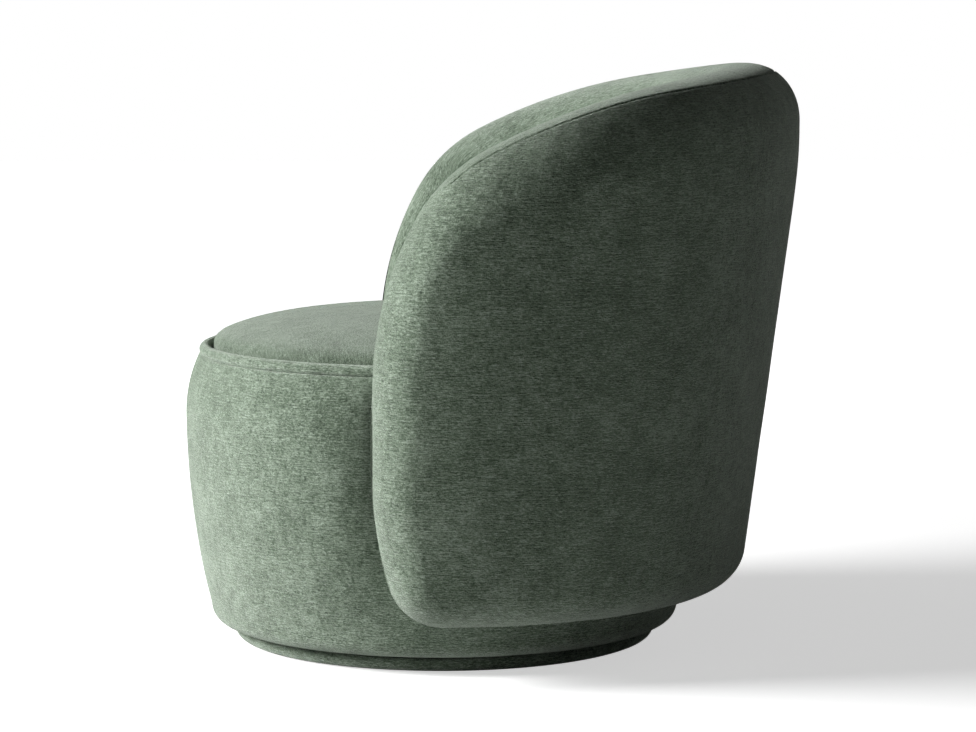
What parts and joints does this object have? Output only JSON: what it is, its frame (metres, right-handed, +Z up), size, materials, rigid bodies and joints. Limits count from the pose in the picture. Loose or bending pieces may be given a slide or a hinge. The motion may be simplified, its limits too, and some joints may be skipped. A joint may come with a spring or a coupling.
{
  "type": "swivel tub armchair",
  "caption": "Upholstered barrel armchair: round drum seat on a recessed turning plinth, wrapped by a rounded padded back whose arms sweep down to the front.",
  "frame": {"origin": "on the swivel axis, at floor level, in the underside of the floor pad", "axes": "+Z up along the swivel axis; the chair faces -Y; the sitter's left arm is at +X"},
  "size_m": [0.8474, 0.8126, 0.7628],
  "materials": {
    "chenille_velvet": "sage green chenille velvet, slubby cross weave",
    "plywood": "raw birch plywood",
    "zinc_steel": "zinc plated steel",
    "aluminium_race": "turned aluminium",
    "cage_nylon": "moulded nylon",
    "felt": "pressed black felt",
    "cambric": "black spunbond dust cloth",
    "fibreboard": "bent fibreboard",
    "webbing": "elastic webbing",
    "foam": "cut foam"
  },
  "bodies": {
    "base": {"floor_pad": "felt", "plinth_board": "plywood", "plinth_cover": "chenille_velvet", "lower_race": "aluminium_race", "lower_race_screws": "zinc_steel"},
    "ball_carrier": {"bearing_balls": "zinc_steel", "ball_cage": "cage_nylon"},
    "seat": {"arm_post_left": "plywood", "arm_post_right": "plywood", "back_bolts": "zinc_steel", "back_bottom_rail": "plywood", "back_inner_pad": "chenille_velvet", "back_liner": "fibreboard", "back_middle_rail": "plywood", "back_outer_pad": "chenille_velvet", "back_ribs": "plywood", "back_straps": "webbing", "back_top_rail": "plywood", "bolt_washers": "zinc_steel", "bottom_board": "plywood", "drum_liner": "fibreboard", "drum_pad": "chenille_velvet", "dust_cover": "cambric", "rib_nuts": "zinc_steel", "ring_screws": "zinc_steel", "seat_core": "foam", "seat_cushion": "chenille_velvet", "seat_posts": "plywood", "seat_roll": "chenille_velvet", "strap_staples": "zinc_steel", "straps_across": "webbing", "straps_lengthwise": "webbing", "top_ring": "plywood", "upper_race": "aluminium_race", "upper_race_screws": "zinc_steel"}
  },
  "joints": [
    {"name": "seat_swivel", "type": "hinge", "parent": "base", "child": "seat", "pos_m": [0, 0, 0.0215], "axis": [0, 0, 1], "continuous": true},
    {"name": "ball_carrier_turn", "type": "hinge", "parent": "base", "child": "ball_carrier", "pos_m": [0, 0, 0.0215], "axis": [0, 0, 1], "continuous": true}
  ],
  "couplings": [
    {"joint": "ball_carrier_turn", "follows": "seat_swivel", "ratio": 0.5}
  ]
}
